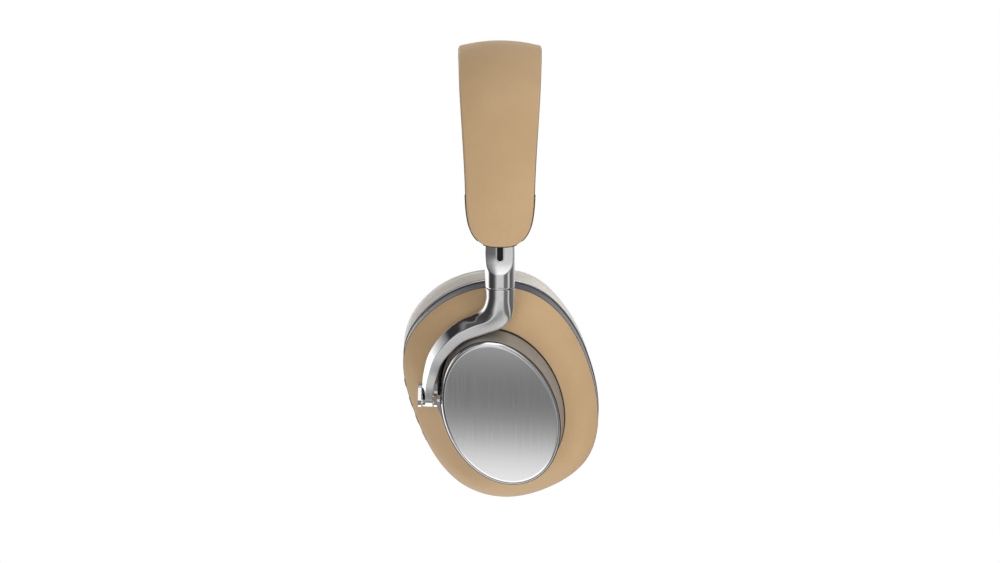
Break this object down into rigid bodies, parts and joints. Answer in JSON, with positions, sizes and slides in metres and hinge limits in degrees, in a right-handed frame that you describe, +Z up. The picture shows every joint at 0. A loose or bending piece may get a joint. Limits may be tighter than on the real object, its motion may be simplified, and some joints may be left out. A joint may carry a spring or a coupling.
{
  "type": "over ear headphones",
  "caption": "Closed over ear headphones with a padded leather headband, sliding metal arms, swivelling and tilting cups, soft ear cushions and push buttons.",
  "frame": {"origin": "underside of the headband pad at the middle of its top, where it rests on the head", "axes": "+X is the wearer's front, +Y the wearer's left, +Z up"},
  "size_m": [0.0869, 0.1676, 0.2052],
  "materials": {
    "tan_leather": "fine-grained tan leather",
    "stone_leather": "soft stone-coloured leather over memory foam",
    "piping": "dark folded edge",
    "spring_steel": "tempered strip",
    "dark_plastic": "moulded glass-filled nylon",
    "black_cable": "soft black jacket",
    "polished_aluminium": "polished with satin faces",
    "pin_steel": "ground",
    "black_polymer": "acetal",
    "drum_aluminium": "satin, warm grey anodised",
    "brushed_plate": "vertically brushed with a bright bevel",
    "grey_ring": "satin grey",
    "magnet_steel": "nickel plated",
    "cone": "carbon fibre cone",
    "circuit_board": "solder mask",
    "scrim_cloth": "fine black acoustic cloth",
    "led_lens": "clear lens",
    "button_metal": "satin",
    "battery_foil": "foil pouch"
  },
  "bodies": {
    "headband": {"headband_cover": "tan_leather", "headband_piping": "piping", "headband_pad": "stone_leather", "headband_spring": "spring_steel", "headband_frame": "dark_plastic", "headband_cable": "black_cable", "slider_guide_right": "dark_plastic", "slider_guide_left": "dark_plastic"},
    "slider_right": {"slider_arm_right": "polished_aluminium", "slider_cable_right": "black_cable"},
    "yoke_right": {"yoke_arm_right": "polished_aluminium", "swivel_pin_right": "pin_steel", "swivel_washer_right": "black_polymer"},
    "cup_right": {"outer_cover_right": "tan_leather", "drum_right": "drum_aluminium", "end_plate_right": "brushed_plate", "hinge_bracket_right": "polished_aluminium", "hinge_pin_right": "pin_steel", "chassis_right": "grey_ring", "microphones_right": "magnet_steel", "baffle_plate_right": "dark_plastic", "baffle_screws_right": "pin_steel", "driver_frame_right": "dark_plastic", "driver_magnet_right": "magnet_steel", "driver_cone_right": "cone", "circuit_board_right": "circuit_board", "cushion_ring_right": "dark_plastic", "ear_cushion_right": "stone_leather", "driver_scrim_right": "scrim_cloth", "usb_port": "pin_steel", "status_led": "led_lens"},
    "slider_left": {"slider_arm_left": "polished_aluminium", "slider_cable_left": "black_cable"},
    "yoke_left": {"yoke_arm_left": "polished_aluminium", "swivel_pin_left": "pin_steel", "swivel_washer_left": "black_polymer"},
    "cup_left": {"outer_cover_left": "tan_leather", "drum_left": "drum_aluminium", "end_plate_left": "brushed_plate", "hinge_bracket_left": "polished_aluminium", "hinge_pin_left": "pin_steel", "chassis_left": "grey_ring", "microphones_left": "magnet_steel", "baffle_plate_left": "dark_plastic", "baffle_screws_left": "pin_steel", "driver_frame_left": "dark_plastic", "driver_magnet_left": "magnet_steel", "driver_cone_left": "cone", "circuit_board_left": "circuit_board", "cushion_ring_left": "dark_plastic", "ear_cushion_left": "stone_leather", "driver_scrim_left": "scrim_cloth", "battery": "battery_foil"},
    "power_switch": {"power_switch": "button_metal"},
    "volume_up_button": {"volume_up_button": "button_metal"},
    "action_button": {"action_button": "button_metal"},
    "volume_down_button": {"volume_down_button": "button_metal"},
    "quick_action_button": {"quick_action_button": "button_metal"}
  },
  "joints": [
    {"name": "slider_right_slide", "type": "slide", "parent": "headband", "child": "slider_right", "axis": [0, 0.1045, -0.9945], "range_m": [0, 0.025]},
    {"name": "yoke_right_swivel", "type": "hinge", "parent": "slider_right", "child": "yoke_right", "pos_m": [0, -0.07237, -0.09581], "axis": [0, -0.1045, 0.9945], "range_deg": [-10, 90]},
    {"name": "cup_right_tilt", "type": "hinge", "parent": "yoke_right", "child": "cup_right", "pos_m": [0, -0.06718, -0.14524], "axis": [-0.9997, 0.026, 0.0027], "range_deg": [0, 24]},
    {"name": "slider_left_slide", "type": "slide", "parent": "headband", "child": "slider_left", "axis": [0, -0.1045, -0.9945], "range_m": [0, 0.025]},
    {"name": "yoke_left_swivel", "type": "hinge", "parent": "slider_left", "child": "yoke_left", "pos_m": [0, 0.07237, -0.09581], "axis": [0, -0.1045, -0.9945], "range_deg": [-10, 90]},
    {"name": "cup_left_tilt", "type": "hinge", "parent": "yoke_left", "child": "cup_left", "pos_m": [0, 0.06718, -0.14524], "axis": [0.9997, 0.026, -0.0027], "range_deg": [0, 24]},
    {"name": "volume_up_button_press", "type": "slide", "parent": "cup_right", "child": "volume_up_button", "axis": [0.9538, -0.1157, 0.2771], "range_m": [0, 0.0005], "stiffness_N_per_m": 1500},
    {"name": "action_button_press", "type": "slide", "parent": "cup_right", "child": "action_button", "axis": [0.94, -0.1281, 0.3162], "range_m": [0, 0.0005], "stiffness_N_per_m": 1500},
    {"name": "volume_down_button_press", "type": "slide", "parent": "cup_right", "child": "volume_down_button", "axis": [0.913, -0.1481, 0.38], "range_m": [0, 0.0005], "stiffness_N_per_m": 1500},
    {"name": "power_switch_slide", "type": "slide", "parent": "cup_right", "child": "power_switch", "axis": [0.2019, 0.2978, -0.933], "range_m": [-0.0012, 0.0012]},
    {"name": "quick_action_button_press", "type": "slide", "parent": "cup_left", "child": "quick_action_button", "axis": [0.94, 0.1281, 0.3162], "range_m": [0, 0.0005], "stiffness_N_per_m": 1500}
  ]
}
